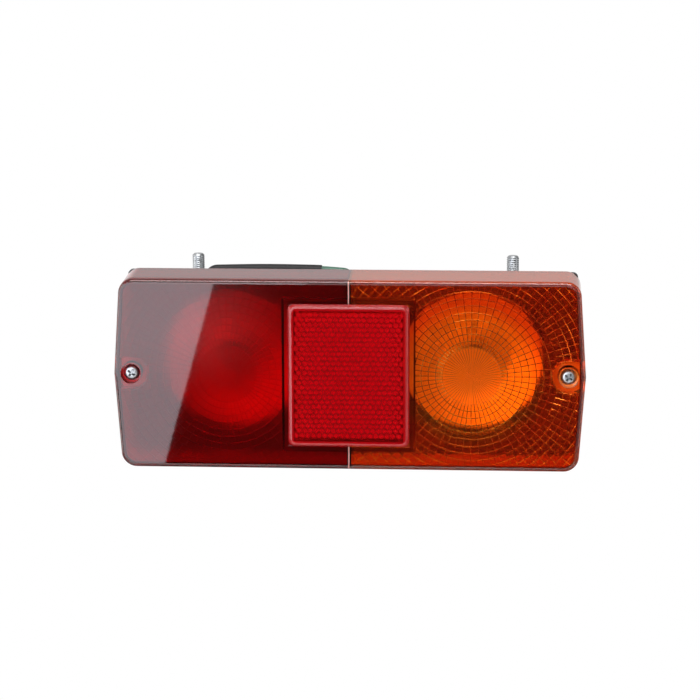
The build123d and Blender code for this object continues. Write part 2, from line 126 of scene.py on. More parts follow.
def named(name):
    """The piece that an operator has just added, named and with its place in its mesh."""
    piece = bpy.context.object
    piece.name = name
    piece.data.name = name
    bpy.ops.object.transform_apply(location=True, rotation=True, scale=True)
    return piece


def block(name, low, high):
    """A cube between two corners, as a start for a piece."""
    rest()
    middle = [(a + b) / 2 for a, b in zip(low, high)]
    size = [b - a for a, b in zip(low, high)]
    bpy.ops.mesh.primitive_cube_add(size=1, location=middle, scale=size)
    return named(name)


def bar(name, radius, x, z, front, rear, sides=32):
    """A round bar along Y, as a start for a piece."""
    rest()
    bpy.ops.mesh.primitive_cylinder_add(
        vertices=sides, radius=radius, depth=rear - front,
        location=(x, (front + rear) / 2, z), rotation=(math.pi / 2, 0, 0))
    return named(name)


def pick(piece, kind, test):
    """In edit mode, select only the faces, edges or corners that pass the test."""
    take(piece)
    bpy.ops.object.mode_set(mode="EDIT")
    bpy.ops.mesh.select_mode(type=kind)
    bpy.ops.mesh.select_all(action="DESELECT")
    mesh = bmesh.from_edit_mesh(piece.data)
    items = {"FACE": mesh.faces, "EDGE": mesh.edges, "VERT": mesh.verts}[kind]
    for item in items:
        item.select = bool(test(item))
    mesh.select_flush_mode()
    bmesh.update_edit_mesh(piece.data)


def pick_all(piece):
    """In edit mode, select the whole piece."""
    take(piece)
    bpy.ops.object.mode_set(mode="EDIT")
    bpy.ops.mesh.select_mode(type="FACE")
    bpy.ops.mesh.select_all(action="SELECT")


def ends(edge):
    """The places of an edge's two corners."""
    return [corner.co for corner in edge.verts]


def from_pole(place):
    """How far a point lies from the pole of the optics, in the front view."""
    return math.hypot(place.x - POLE_X, place.z - MIDDLE)


def trim(piece, point, normal):
    """Cut off what lies beyond a plane and close the cut."""
    pick_all(piece)
    bpy.ops.mesh.bisect(plane_co=point, plane_no=normal, use_fill=True, clear_outer=True)
    rest()


def apply_modifier(piece, modifier):
    """Make a modifier's result the piece's own mesh."""
    take(piece)
    bpy.ops.object.modifier_apply(modifier=modifier.name)
    rest()


def combine(piece, tool, how):
    """Add a solid to a piece, take it away from it or keep what both share. It is used up."""
    boolean = piece.modifiers.new("boolean", "BOOLEAN")
    boolean.operation = how
    boolean.solver = "EXACT"
    boolean.object = tool
    apply_modifier(piece, boolean)
    bpy.data.objects.remove(tool, do_unlink=True)


def tidy_mesh(piece):
    """Close doubled corners and turn every face outwards."""
    pick_all(piece)
    bpy.ops.mesh.remove_doubles(threshold=MERGE)
    bpy.ops.mesh.normals_make_consistent(inside=False)
    rest()


def copy_of(piece, name, matrix):
    """A copy with its own mesh, moved or mirrored by a matrix."""
    twin = piece.copy()
    twin.data = piece.data.copy()
    twin.name = name
    twin.data.name = name
    bpy.context.scene.collection.objects.link(twin)
    twin.data.transform(matrix)
    tidy_mesh(twin)
    return twin


def pair(name, piece, x):
    """A piece and its copy on the other side, as far from the middle, as one piece."""
    twin = copy_of(piece, name + "_left", Matrix.Translation((-2 * x, 0, 0)))
    rest()
    piece.select_set(True)
    twin.select_set(True)
    bpy.context.view_layer.objects.active = piece
    bpy.ops.object.join()
    piece.name = name
    piece.data.name = name
    return piece


# Lens

def lens_shell():
    """The right-hand half of the lens as a drafted cup with a pointed end and rounded edges."""
    rear = FRONT + LENS_DEPTH
    side = LENS_HALF_WIDTH - END_POINT
    shell = block("lens_shell", (0, FRONT, MIDDLE - LENS_HALF_HEIGHT),
                  (LENS_HALF_WIDTH, rear, MIDDLE + LENS_HALF_HEIGHT))
    pick_all(shell)
    bpy.ops.mesh.bisect(plane_co=(0, 0, MIDDLE), plane_no=(0, 0, 1))
    pick(shell, "VERT",
         lambda v: v.co.x > POLE_X and abs(v.co.z - MIDDLE) > LENS_HALF_HEIGHT / 2)
    bpy.ops.transform.translate(value=(-END_POINT, 0, 0))

    def is_corner(edge):
        return all(abs(c.x - side) < NEAR
                   and abs(abs(c.z - MIDDLE) - LENS_HALF_HEIGHT) < NEAR for c in ends(edge))

    pick(shell, "EDGE", is_corner)
    bpy.ops.mesh.bevel(offset=LENS_CORNER, segments=12, affect="EDGES")
    pick(shell, "VERT", lambda v: v.co.y > rear - NEAR)
    bpy.ops.transform.resize(
        value=(1 + RIM_GROWTH / LENS_HALF_WIDTH, 1, 1 + RIM_GROWTH / LENS_HALF_HEIGHT),
        center_override=(0, rear, MIDDLE))
    pick(shell, "EDGE", lambda e: all(c.y < FRONT + NEAR for c in ends(e))
         and max(c.x for c in ends(e)) > NEAR)
    bpy.ops.mesh.bevel(offset=LENS_EDGE, segments=6, affect="EDGES")
    pick(shell, "EDGE", lambda e: all(c.y < FRONT + NEAR and c.x < NEAR for c in ends(e)))
    bpy.ops.mesh.bevel(offset=SEAM_EDGE, segments=3, affect="EDGES")

    # Hollow it from behind, with a thinner wall along the seam
    pick(shell, "FACE", lambda f: f.normal.y > FACING)
    bpy.ops.mesh.inset(thickness=SIDE_WALL)
    pick(shell, "VERT", lambda v: v.co.y > rear - NEAR and abs(v.co.x - SIDE_WALL) < NEAR)
    bpy.ops.transform.translate(value=(SEAM_WALL - SIDE_WALL, 0, 0))
    pick(shell, "FACE", lambda f: f.normal.y > FACING and f.calc_center_median().x > POLE_X / 2
         and f.calc_area() > LENS_HALF_HEIGHT**2)
    bpy.ops.mesh.extrude_region_move(
        TRANSFORM_OT_translate={"value": (0, FRONT_WALL - LENS_DEPTH, 0)})
    bpy.ops.transform.resize(
        value=(1 - RIM_GROWTH / LENS_HALF_WIDTH, 1, 1 - RIM_GROWTH / LENS_HALF_HEIGHT),
        center_override=(0, FRONT, MIDDLE))
    rest()
    return shell


def screw_boss():
    """The round boss of a lens screw, drawn out past the end wall and cut off inside it."""
    drawn_out = 8 * MM
    boss = bar("screw_boss", BOSS_RADIUS, SCREW_X, MIDDLE,
               FRONT + FRONT_WALL / 2, FRONT + BOSS_DEPTH, 48)
    pick(boss, "VERT", lambda v: v.co.x > SCREW_X + NEAR)
    bpy.ops.transform.translate(value=(drawn_out, 0, 0))
    trim(boss, (LENS_HALF_WIDTH - SIDE_WALL / 2, 0, 0), (1, 0, 0))
    return boss


def pocket_floor():
    """The thicker floor of the tile's pocket, with a chamfered rear edge that shows as a line."""
    half_height = TILE_HALF_HEIGHT + POCKET_RIM
    rear = FRONT + FRONT_WALL + TILE_SEAT
    floor = block("pocket_floor", (SEAM_WALL / 2, FRONT + FRONT_WALL / 2, MIDDLE - half_height),
                  (TILE_HALF_WIDTH + POCKET_RIM, rear, MIDDLE + half_height))
    pick(floor, "EDGE", lambda e: all(c.y > rear - NEAR for c in ends(e))
         and max(c.x for c in ends(e)) > SEAM_WALL)
    bpy.ops.mesh.bevel(offset=POCKET_CHAMFER, segments=1, affect="EDGES")
    rest()
    return floor


def optic_rings(name, inner, rows, sectors, slope):
    """Ring-shaped rows of optic cells, each a low cushion with a groove all round, trimmed to the
    field between the seam and the lens's plain border."""
    rest()
    pole = (POLE_X, OPTIC_LEVEL, MIDDLE)
    bpy.ops.mesh.primitive_circle_add(
        vertices=sectors, radius=inner, location=pole, rotation=(-math.pi / 2, 0, 0))
    plate = named(name)
    for row in range(rows):
        reach = inner + row * RING_PITCH
        pick(plate, "EDGE", lambda e: all(from_pole(c) > reach - NEAR / 10 for c in ends(e)))
        bpy.ops.mesh.extrude_region_move()
        grow = (reach + RING_PITCH) / reach
        bpy.ops.transform.resize(value=(grow, 1, grow), center_override=pole)
    pick_all(plate)
    bpy.ops.mesh.normals_make_consistent(inside=False)
    if bmesh.from_edit_mesh(plate.data).faces[:][0].normal.y < 0:
        bpy.ops.mesh.flip_normals()
    rest()
    wall = plate.modifiers.new("wall", "SOLIDIFY")
    wall.thickness = OPTIC_PLATE
    wall.offset = -1
    apply_modifier(plate, wall)
    for thickness, rise in ((GROOVE, slope * GROOVE), (CUSHION_EDGE, CUSHION_RISE)):
        pick(plate, "FACE", lambda f: f.normal.y > FACING)
        bpy.ops.mesh.inset(thickness=thickness, depth=rise, use_individual=True)
    rest()

    half_height = LENS_HALF_HEIGHT - BORDER
    field = block("field", (SEAM_WALL / 2, FRONT, MIDDLE - half_height),
                  (LENS_HALF_WIDTH, FRONT + BOSS_DEPTH, MIDDLE + half_height))
    for up in (-1, 1):
        trim(field, (LENS_HALF_WIDTH - BORDER, 0, MIDDLE), (LENS_HALF_HEIGHT, 0, up * END_POINT))
    combine(plate, field, "INTERSECT")
    return plate


def optic_star(groove):
    """The disc in the middle of the optics: flat sectors parted by grooves from the pole."""
    rest()
    steps = 6
    bpy.ops.mesh.primitive_circle_add(
        vertices=steps * SECTORS, radius=STAR_RADIUS, fill_type="TRIFAN",
        location=(POLE_X, OPTIC_LEVEL + STAR_CREST, MIDDLE), rotation=(-math.pi / 2, 0, 0))
    star = named("star")
    step = 2 * math.pi / (steps * SECTORS)

    def in_groove(v):
        if from_pole(v.co) < STAR_RADIUS / 2:
            return False
        return round(math.atan2(v.co.z - MIDDLE, v.co.x - POLE_X) / step) % steps == 0

    pick(star, "VERT", in_groove)
    bpy.ops.transform.translate(value=(0, -groove, 0))
    pick_all(star)
    bpy.ops.mesh.extrude_region_move(TRANSFORM_OT_translate={"value": (0, -STAR_PLATE, 0)})
    tidy_mesh(star)
    return star


def make_lens(star_groove, inner_slope, outer_slope):
    """The right-hand half of the lens, with its boss, tile pocket, counterbore and optics."""
    lens = lens_shell()
    relief = block("seam_relief", (-PAST, FRONT + SEAM_RELIEF, MIDDLE - SEAM_RELIEF_HALF_HEIGHT),
                   (SIDE_WALL + PAST / 2, 0, MIDDLE + SEAM_RELIEF_HALF_HEIGHT))
    combine(lens, relief, "DIFFERENCE")
    combine(lens, screw_boss(), "UNION")
    combine(lens, pocket_floor(), "UNION")
    combine(lens, optic_star(star_groove), "UNION")
    spoked = optic_rings("spoked_rings", STAR_RADIUS, SPOKED_ROWS, SECTORS, inner_slope)
    combine(lens, spoked, "UNION")
    outer = optic_rings("outer_rings", SPOKE_END - PLATE_OVERLAP, OUTER_ROWS, OUTER_SECTORS,
                        outer_slope)
    combine(lens, outer, "UNION")
    pocket = block("tile_pocket", (-PAST, FRONT - PAST, MIDDLE - TILE_HALF_HEIGHT - TILE_GAP),
                   (TILE_HALF_WIDTH + TILE_GAP, FRONT + TILE_SEAT,
                    MIDDLE + TILE_HALF_HEIGHT + TILE_GAP))
    combine(lens, pocket, "DIFFERENCE")
    counterbore = bar("counterbore", COUNTERBORE_RADIUS, SCREW_X, MIDDLE,
                      FRONT - PAST, FRONT + SCREW_SEAT, 48)
    combine(lens, counterbore, "DIFFERENCE")
    hole = bar("screw_hole", SCREW_HOLE_RADIUS, SCREW_X, MIDDLE, FRONT, FRONT + BOSS_DEPTH + PAST)
    combine(lens, hole, "DIFFERENCE")
    tidy_mesh(lens)

    # In some runs the Booleans drop one small face, so any hole is closed
    pick_all(lens)
    bpy.ops.mesh.fill_holes(sides=0)
    bpy.ops.mesh.normals_make_consistent(inside=False)
    rest()
    return lens


# Reflex tile

def prism_void():
    """The air behind the reflex tile: a solid whose front is a field of hexagonal cube corners."""
    corner = PRISM_FLATS / math.sqrt(3)
    step = PRISM_FLATS / math.sqrt(6)
    rest()
    bpy.ops.mesh.primitive_circle_add(
        vertices=6, radius=corner, fill_type="TRIFAN",
        location=(0, FRONT - TILE_PROUD + PRISM_COVER, 0), rotation=(math.pi / 2, 0, 0))
    field = named("prism_void")
    rim = sorted((v for v in field.data.vertices if math.hypot(v.co.x, v.co.z) > corner / 2),
                 key=lambda v: math.atan2(v.co.z, v.co.x))
    high = {v.index for v in rim[::2]}
    low = {v.index for v in rim[1::2]}
    pick(field, "VERT", lambda v: v.index in high)
    bpy.ops.transform.translate(value=(0, step, 0))
    pick(field, "VERT", lambda v: v.index not in high and v.index not in low)
    bpy.ops.transform.translate(value=(0, 2 * step, 0))
    rest()
    columns, row_pairs = 22, 16
    for count, offset in ((columns, (PRISM_FLATS, 0, 0)),
                          (2, (PRISM_FLATS / 2, 0, 1.5 * corner)),
                          (row_pairs, (0, 0, 3 * corner))):
        rows = field.modifiers.new("rows", "ARRAY")
        rows.count = count
        rows.use_relative_offset = False
        rows.use_constant_offset = True
        rows.constant_offset_displace = offset
        rows.use_merge_vertices = True
        rows.use_merge_vertices_cap = True
        rows.merge_threshold = NEAR / 10
        apply_modifier(field, rows)
    field.data.transform(Matrix.Translation(
        (-(columns / 2 - 0.25) * PRISM_FLATS, 0, MIDDLE - (1.5 * row_pairs - 0.75) * corner)))

    # Trim the field to the tile's frame and close it behind
    half_x = TILE_HALF_WIDTH - TILE_FRAME
    half_z = TILE_HALF_HEIGHT - TILE_FRAME
    past_back = FRONT + 3 * MM
    pick_all(field)
    bpy.ops.mesh.remove_doubles(threshold=NEAR / 10)
    for point, normal in (((half_x, 0, 0), (1, 0, 0)), ((-half_x, 0, 0), (-1, 0, 0)),
                          ((0, 0, MIDDLE + half_z), (0, 0, 1)),
                          ((0, 0, MIDDLE - half_z), (0, 0, -1))):
        pick_all(field)
        bpy.ops.mesh.bisect(plane_co=point, plane_no=normal, clear_outer=True)
    pick(field, "EDGE", lambda e: len(e.link_faces) == 1)
    bpy.ops.mesh.extrude_region_move()
    bpy.ops.transform.resize(value=(1, 0, 1), center_override=(0, past_back, 0))
    bpy.ops.mesh.edge_face_add()
    tidy_mesh(field)
    return field


def make_tile():
    """The reflex tile: drafted and round-edged in front, seated in its pocket, prisms behind."""
    tile = block("reflex_tile", (-TILE_HALF_WIDTH, FRONT, MIDDLE - TILE_HALF_HEIGHT),
                 (TILE_HALF_WIDTH, FRONT + TILE_SEAT, MIDDLE + TILE_HALF_HEIGHT))
    pick(tile, "EDGE", lambda e: abs(ends(e)[0].y - ends(e)[1].y) > NEAR)
    bpy.ops.mesh.bevel(offset=TILE_CORNER, segments=6, affect="EDGES")
    pick(tile, "FACE", lambda f: f.normal.y < -FACING)
    bpy.ops.mesh.extrude_region_move(TRANSFORM_OT_translate={"value": (0, -TILE_PROUD, 0)})
    bpy.ops.transform.resize(
        value=(1 - TILE_DRAFT / TILE_HALF_WIDTH, 1, 1 - TILE_DRAFT / TILE_HALF_HEIGHT),
        center_override=(0, FRONT, MIDDLE))
    pick(tile, "EDGE", lambda e: all(c.y < FRONT - TILE_PROUD + NEAR for c in ends(e)))
    bpy.ops.mesh.bevel(offset=TILE_EDGE, segments=5, affect="EDGES")
    rest()
    combine(tile, prism_void(), "DIFFERENCE")
    tidy_mesh(tile)
    return tile


# Screws and studs

def make_lens_screws():
    """Two pan-headed lens screws with a cross recess, a shank and a point."""
    head_front = FRONT + 1.8 * MM
    head_radius, head_round, shank_radius = 3.8 * MM, 2.1 * MM, 1.95 * MM
    shank, point, point_share = 17.5 * MM, 2.5 * MM, 0.34
    screw = bar("lens_screw", head_radius, SCREW_X, MIDDLE, head_front, FRONT + SCREW_SEAT, 40)
    pick(screw, "EDGE", lambda e: all(c.y < head_front + NEAR for c in ends(e)))
    bpy.ops.mesh.bevel(offset=head_round, segments=6, affect="EDGES")
    pick(screw, "FACE", lambda f: f.normal.y > FACING)
    bpy.ops.mesh.inset(thickness=head_radius - shank_radius)
    bpy.ops.mesh.extrude_region_move(TRANSFORM_OT_translate={"value": (0, shank, 0)})
    bpy.ops.mesh.extrude_region_move(TRANSFORM_OT_translate={"value": (0, point, 0)})
    bpy.ops.transform.resize(value=(point_share, 1, point_share),
                             center_override=(SCREW_X, 0, MIDDLE))
    rest()
    wing_half_length, wing_half_width, recess_depth = 2.3 * MM, 0.55 * MM, 1.7 * MM
    wing_taper = (0.45, 1, 0.6)
    first_turn = 0.6
    for turn in (first_turn, first_turn + math.pi / 2):
        wing = block("recess", (-wing_half_length, head_front - PAST / 2, -wing_half_width),
                     (wing_half_length, head_front + recess_depth, wing_half_width))
        pick(wing, "FACE", lambda f: f.normal.y > FACING)
        bpy.ops.transform.resize(value=wing_taper, center_override=(0, 0, 0))
        rest()
        wing.data.transform(
            Matrix.Translation((SCREW_X, 0, MIDDLE)) @ Matrix.Rotation(turn, 4, "Y"))
        combine(screw, wing, "DIFFERENCE")
    tidy_mesh(screw)
    return pair("lens_screws_shaped", screw, SCREW_X)


def stud_thread():
    """An M6 thread of 1 mm pitch, closed at both ends and chamfered at the tip."""
    pitch, turns, steps = 1 * MM, 16, 28
    root, crest = 2.6 * MM, 2.98 * MM
    foot, tip, blank = 0.02 * MM, 12.995 * MM, 14 * MM
    gauge_radius, tip_chamfer = 3.2 * MM, 1.1 * MM
    # One tooth from root to root, as radius and height in pitches
    tooth = ((root, -1.0), (crest, -0.6), (crest, -0.4), (root, 0.0))
    rest()
    bpy.ops.mesh.primitive_plane_add(size=1)
    thread = named("stud_thread")
    pick_all(thread)
    bpy.ops.mesh.delete(type="ONLY_FACE")
    pick(thread, "EDGE", lambda e: all(c.x < 0 for c in ends(e)))
    bpy.ops.mesh.delete(type="EDGE_FACE")
    rest()
    order = sorted(thread.data.vertices,
                   key=lambda v: (v.co.y, v.co.x if v.co.y < 0 else -v.co.x))
    for corner, (radius, height) in zip(order, tooth):
        corner.co = (radius, 0, height * pitch)
    turn = thread.modifiers.new("turn", "SCREW")
    turn.axis = "Z"
    turn.screw_offset = pitch
    turn.iterations = turns
    turn.steps = steps
    turn.render_steps = steps
    turn.use_merge_vertices = True
    turn.merge_threshold = 0.005 * MM
    apply_modifier(thread, turn)
    tidy_mesh(thread)
    trim(thread, (0, 0, blank), (0, 0, 1))
    trim(thread, (0, 0, foot), (0, 0, -1))
    tidy_mesh(thread)

    # What the thread shares with a chamfered bar is the thread with its tip chamfered
    bpy.ops.mesh.primitive_cylinder_add(
        vertices=48, radius=gauge_radius, depth=blank, location=(0, 0, tip - blank / 2))
    gauge = named("tip_gauge")
    pick(gauge, "EDGE", lambda e: all(c.z > tip - NEAR for c in ends(e)))
    bpy.ops.mesh.bevel(offset=tip_chamfer, segments=1, affect="EDGES")
    rest()
    combine(thread, gauge, "INTERSECT")
    return thread


def make_studs():
    """Two studs: a threaded end above the seat, and a collar and a hexagon head in the base."""
    thread = stud_thread()
    half_flats, head_height, head_middle, head_border = 5 * MM, 4 * MM, -9 * MM, 1.2 * MM
    collar_radius, collar_height, collar_edge = 3.5 * MM, 7.5 * MM, 0.3 * MM
    bpy.ops.mesh.primitive_cylinder_add(
        vertices=6, radius=half_flats / math.cos(math.pi / 6), depth=head_height,
        location=(0, 0, head_middle), rotation=(0, 0, math.pi / 6))
    stud = named("stud_head")
    pick(stud, "FACE", lambda f: f.normal.z > FACING)
    bpy.ops.mesh.inset(thickness=head_border)
    rest()
    bpy.ops.mesh.primitive_cylinder_add(
        vertices=40, radius=collar_radius, depth=collar_height,
        location=(0, 0, -collar_height / 2))
    collar = named("stud_collar")
    pick(collar, "EDGE", lambda e: all(c.z > -NEAR for c in ends(e)))
    bpy.ops.mesh.bevel(offset=collar_edge, segments=1, affect="EDGES")
    rest()
    combine(stud, collar, "UNION")
    combine(stud, thread, "UNION")
    tidy_mesh(stud)
    stud.data.transform(Matrix.Translation((STUD_X, 0, 0)))
    return pair("mounting_studs_threaded", stud, STUD_X)


# Materials

def colour(hexadecimal):
    """An sRGB hex colour as linear RGBA."""
    parts = [int(hexadecimal[i:i + 2], 16) / 255 for i in (1, 3, 5)]
    return [c / 12.92 if c <= 0.04045 else ((c + 0.055) / 1.055) ** 2.4 for c in parts] + [1.0]


def add_node(tree, kind, inputs=(), output=0, **settings):
    """Add a node with its settings, and give one of its outputs. Each input, by name or in order,
    takes a value or the output of another node."""
    node = tree.nodes.new("ShaderNode" + kind)
    for name, value in settings.items():
        setattr(node, name, value)
    for name, value in inputs.items() if isinstance(inputs, dict) else enumerate(inputs):
        if isinstance(value, bpy.types.NodeSocket):
            tree.links.new(value, node.inputs[name])
        else:
            node.inputs[name].default_value = value
    return node.outputs[output] if node.outputs else None


def new_material(name):
    """An empty material, its node tree and its Object coordinates."""
    material = bpy.data.materials.new(name)
    material.use_nodes = True
    tree = material.node_tree
    tree.nodes.clear()
    return material, tree, add_node(tree, "TexCoord", output="Object")


def lens_acrylic(name, side, painted_light_over_bowl, painted_shade_past_bowl, boss_painted_light, etch, haze, star_haze):
    """Moulded and dyed PMMA. Polished in front, it mirrors the room. Etched behind, it shows the
    bowl as a soft glow and hides the bulb. Over the bowl its colour is painted lighter and more
    golden, as painted light, and past the bowl deeper, as painted shade; it is milkier round the
    bowl. It is matt in the screw's boss, with a paler colour there that is painted light, pale
    along the welded seam, partly a whitish weld and partly a painted highlight, and painted dark
    where its rim lies on the gasket, as painted shade."""
    material, tree, place = new_material(name)
    axes = add_node(tree, "SeparateXYZ", (place,)).node.outputs
    depth = axes["Y"]
    across = add_node(tree, "Math", (axes["X"],), operation="ABSOLUTE")
    reach = {}
    for centre, x in (("pole", POLE_X), ("screw", SCREW_X)):
        offset = add_node(tree, "VectorMath", (place, (side * x, 0, MIDDLE)), operation="SUBTRACT")
        flat = add_node(tree, "VectorMath", (offset, (1, 0, 1)), operation="MULTIPLY")
        reach[centre] = add_node(tree, "VectorMath", (flat,), "Value", operation="LENGTH")

    # Where the parts of the lens begin and end, each as a share from 0 to 1
    behind_face = (FRONT + 1.5 * MM, FRONT + 2.2 * MM)
    on_walls = (FRONT + 4 * MM, FRONT + 5 * MM)
    star_edge = (STAR_RADIUS, STAR_RADIUS + 1 * MM)
    optics = add_node(tree, "Math", (
        add_node(tree, "MapRange", (depth, *behind_face, 0.0, 1.0)),
        add_node(tree, "MapRange", (depth, *on_walls, 1.0, 0.0))), operation="MULTIPLY")
    past_bowl = add_node(tree, "MapRange", (reach["pole"], 27 * MM, 35 * MM, 0.0, 1.0))
    # The boss is matt, and its paler colour there is painted light
    boss = add_node(tree, "Math", (
        add_node(tree, "MapRange", (reach["screw"], 7.7 * MM, 8.3 * MM, 1.0, 0.0)),
        add_node(tree, "MapRange", (across, LENS_HALF_WIDTH - 3 * MM, LENS_HALF_WIDTH - 2.5 * MM,
                                    1.0, 0.0))), operation="MULTIPLY")
    boss_foot = add_node(tree, "Math", (boss, add_node(
        tree, "MapRange", (depth, FRONT + 3.5 * MM, FRONT + 4.5 * MM, 0.0, 1.0))),
        operation="MULTIPLY")
    # A pale line along the seam: partly a whitish weld, partly a painted highlight
    weld_and_highlight = add_node(tree, "Math", (
        add_node(tree, "MapRange", (across, 0.2 * MM, 0.35 * MM, 1.0, 0.0)),
        add_node(tree, "MapRange", (depth, FRONT + 0.5 * MM, FRONT + 1.5 * MM, 1.0, 0.0))),
        operation="MULTIPLY")
    rim = FRONT + LENS_DEPTH
    off_rim = add_node(tree, "MapRange", (depth, rim - 0.5 * MM, rim - 0.2 * MM, 1.0, 0.0))

    # Lighter and more golden over the bowl, as painted light of the lit bowl, and deeper past it,
    # as painted shade
    shade = colour(painted_light_over_bowl)
    # In the boss the colour is paler, as painted light
    for share, hue in ((past_bowl, painted_shade_past_bowl), (boss, boss_painted_light), (weld_and_highlight, "#d89a90")):
        shade = add_node(tree, "Mix", {"Factor": share, 6: shade, 7: colour(hue)}, 2,
                         data_type="RGBA")
    # The rim is painted dark where it lies on the gasket, as painted shade
    painted_rim_shadow = add_node(tree, "MapRange", (off_rim, 0.0, 1.0, 0.25, 1.0))
    shade = add_node(tree, "Mix", {"Factor": 1.0, 6: shade, 7: painted_rim_shadow}, 2,
                     data_type="RGBA", blend_type="MULTIPLY")

    star_etch = 0.36
    etched = add_node(tree, "MapRange", (reach["pole"], *star_edge, star_etch, etch))
    walls = add_node(tree, "MapRange", (depth, *on_walls, 0.02, 0.06))
    rough = add_node(tree, "Math", (etched, optics, walls), operation="MULTIPLY_ADD")

    milky = add_node(tree, "Math", (
        add_node(tree, "MapRange", (past_bowl, 0.0, 1.0, haze / 3, haze)),
        add_node(tree, "MapRange", (reach["pole"], *star_edge, star_haze, 0.0))),
        operation="MAXIMUM")
    cloud = add_node(tree, "Math", (add_node(
        tree, "MapRange", (depth, FRONT + 0.2 * MM, FRONT + 0.8 * MM, 0.0, 1.0)), milky),
        operation="MULTIPLY")
    clear = add_node(tree, "MapRange", (cloud, 0.0, 1.0, 1.0, 0.0))
    for share, least in ((boss_foot, 0.1), (weld_and_highlight, 0.5)):
        left = add_node(tree, "MapRange", (share, 0.0, 1.0, 1.0, least))
        clear = add_node(tree, "Math", (clear, left), operation="MULTIPLY")
    clear = add_node(tree, "Math", (clear, off_rim), operation="MULTIPLY")

    shader = add_node(tree, "BsdfPrincipled", {
        "IOR": 1.49, "Base Color": shade, "Roughness": rough, "Transmission Weight": clear})
    add_node(tree, "OutputMaterial", {"Surface": shader})
    return material


def reflex_acrylic():
    """Moulded and dyed PMMA. Polished in front, it is glossy. A bloom on its prisms makes them
    sparkle softly, and the milky frame round them is a paler red."""
    material, tree, place = new_material("reflex_acrylic")
    axes = add_node(tree, "SeparateXYZ", (place,)).node.outputs
    face = FRONT - TILE_PROUD
    rough = add_node(tree, "MapRange", (axes["Y"], face + 0.5 * MM, face + 0.8 * MM, 0.02, 0.2))
    sides = []
    for axis, middle, half in (("X", 0, TILE_HALF_WIDTH), ("Z", MIDDLE, TILE_HALF_HEIGHT)):
        span = add_node(tree, "Math", (axes[axis], middle), operation="SUBTRACT")
        span = add_node(tree, "Math", (span,), operation="ABSOLUTE")
        inner = half - TILE_FRAME
        sides.append(add_node(tree, "MapRange", (span, inner, inner + 0.4 * MM, 0.0, 1.0)))
    border = add_node(tree, "Math", sides, operation="MAXIMUM")
    shade = add_node(tree, "Mix", {
        "Factor": border, 6: colour("#980409"), 7: colour("#c00a12")}, 2, data_type="RGBA")
    clear = add_node(tree, "MapRange", (border, 0.0, 1.0, 0.96, 0.72))
    shader = add_node(tree, "BsdfPrincipled", {
        "IOR": 1.49, "Base Color": shade, "Roughness": rough, "Transmission Weight": clear})
    add_node(tree, "OutputMaterial", {"Surface": shader})
    return material


def black_polypropylene():
    """Moulded polypropylene with a fine spark-eroded grain: satin black, with a broken highlight.
    The grain is drawn at 0.7 mm, coarser than it is, so that it shows."""
    material, tree, place = new_material("black_polypropylene")
    grain = add_node(tree, "TexNoise", {"Vector": place, "Scale": 1 / (0.7 * MM), "Detail": 2.0})
    relief = add_node(tree, "Bump", {"Strength": 0.25, "Distance": 0.05 * MM, "Height": grain})
    shade = add_node(tree, "Mix", {
        "Factor": grain, 6: colour("#191819"), 7: colour("#262527")}, 2, data_type="RGBA")
    shader = add_node(tree, "BsdfPrincipled", {
        "IOR": 1.49, "Roughness": 0.45, "Base Color": shade, "Normal": relief})
    add_node(tree, "OutputMaterial", {"Surface": shader})
    return material


def bulb_glass():
    """Thin blown soda glass: clear and glossy, and very slightly uneven."""
    material, tree, place = new_material("bulb_glass")
    spots = add_node(tree, "TexNoise", {"Vector": place, "Scale": 1 / (6 * MM), "Detail": 3.0})
    rough = add_node(tree, "MapRange", (spots, 0.3, 0.7, 0.0, 0.02))
    shader = add_node(tree, "BsdfPrincipled", {
        "IOR": 1.5, "Base Color": colour("#f8faf8"), "Roughness": rough,
        "Transmission Weight": 1.0})
    add_node(tree, "OutputMaterial", {"Surface": shader})
    return material


def plain_finish(name, dark, light, spot, smooth, rough, values):
    """A finish whose colour runs between two close shades, in spots of a real size, and whose
    roughness varies with it."""
    material, tree, place = new_material(name)
    spots = add_node(tree, "TexNoise", {"Vector": place, "Scale": 1 / spot, "Detail": 4.0})
    share = add_node(tree, "MapRange", (spots, 0.3, 0.7, 0.0, 1.0))
    shade = add_node(tree, "Mix", {
        "Factor": share, 6: colour(dark), 7: colour(light)}, 2, data_type="RGBA")
    uneven = add_node(tree, "MapRange", (spots, 0.0, 1.0, smooth, rough))
    shader = add_node(tree, "BsdfPrincipled", {
        "Base Color": shade, "Roughness": uneven, **values})
    add_node(tree, "OutputMaterial", {"Surface": shader})
    return material


METAL = {"Metallic": 1.0}

# The colours are for over the bowl, past it and in the boss: the first and third are painted light,
# the second painted shade
amber = lens_acrylic("amber_acrylic", 1, "#fa972c", "#ec6a1a", "#ff9a40", 0.1, 0.15, 0.24)
red = lens_acrylic("red_acrylic", -1, "#c4050b", "#b8040a", "#b81c24", 0.32, 0.07, 0.38)
reflex = reflex_acrylic()
black = black_polypropylene()
glass = bulb_glass()
# Moulded rubber: dull, nearly black, slightly cloudy
rubber = plain_finish("black_rubber", "#151515", "#1e1e1e", 1.5 * MM, 0.6, 0.8, {"IOR": 1.5})
# Headed steel with a dull plating: mid grey, with a soft sheen
steel = plain_finish("dull_steel", "#808284", "#9a9c9e", 2 * MM, 0.25, 0.4, METAL)
# Pressed and zinc-plated steel: a paler grey, with a blurred sheen
zinc = plain_finish("zinc_plated_steel", "#9fa1a3", "#bcbec0", 2 * MM, 0.22, 0.4, METAL)
# Spun and buffed aluminium: nearly white, with a blurred mirror image
bright = plain_finish("polished_aluminium", "#dadada", "#ececec", 4 * MM, 0.26, 0.34, METAL)
# Headed aluminium, as made: pale and dull
aluminium = plain_finish("plain_aluminium", "#b8b8b8", "#cdcdcd", 2 * MM, 0.3, 0.45, METAL)
